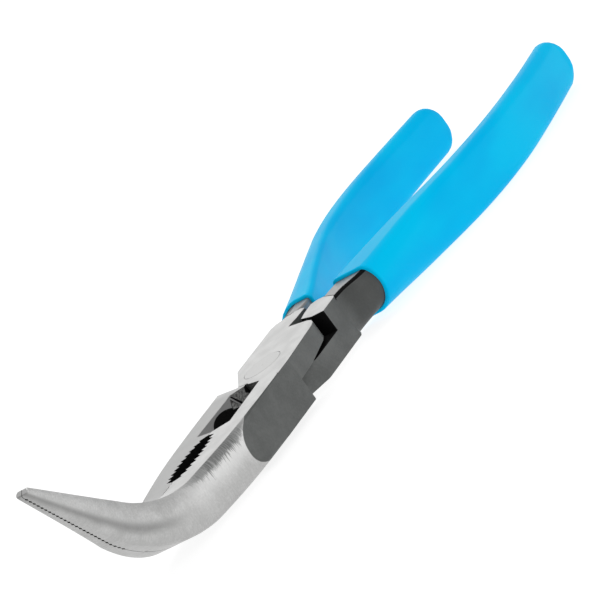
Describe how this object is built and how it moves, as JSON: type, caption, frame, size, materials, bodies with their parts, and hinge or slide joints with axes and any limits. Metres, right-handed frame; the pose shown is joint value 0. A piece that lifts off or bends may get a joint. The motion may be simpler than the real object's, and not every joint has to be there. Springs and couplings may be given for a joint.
{
  "type": "bent needle nose pliers",
  "caption": "Bent long nose pliers with a lap joint, side cutter, toothed pipe grip, serrated nose and dipped blue handle grips.",
  "frame": {"origin": "on the pivot axis, in the plane of the joint's underside", "axes": "+Y from the pivot towards the jaws, +Z along the pivot axis towards the side the noses bend to, +X across the jaws"},
  "size_m": [0.0474, 0.207, 0.0336],
  "materials": {
    "forged_steel": "drop-forged steel: ground joint faces and noses, dark forged side flats and shanks",
    "rivet_steel": "flush rivet ground with the joint face",
    "blue_vinyl": "glossy dipped vinyl, bright blue"
  },
  "bodies": {
    "left_jaw": {"left_jaw_half": "forged_steel", "right_handle_grip": "blue_vinyl", "pivot_rivet": "rivet_steel"},
    "right_jaw": {"right_jaw_half": "forged_steel", "left_handle_grip": "blue_vinyl"}
  },
  "joints": [
    {"name": "jaw_pivot", "type": "hinge", "parent": "left_jaw", "child": "right_jaw", "pos_m": [0, 0, 0.0049], "axis": [0, 0, -1], "range_deg": [0, 45]}
  ]
}
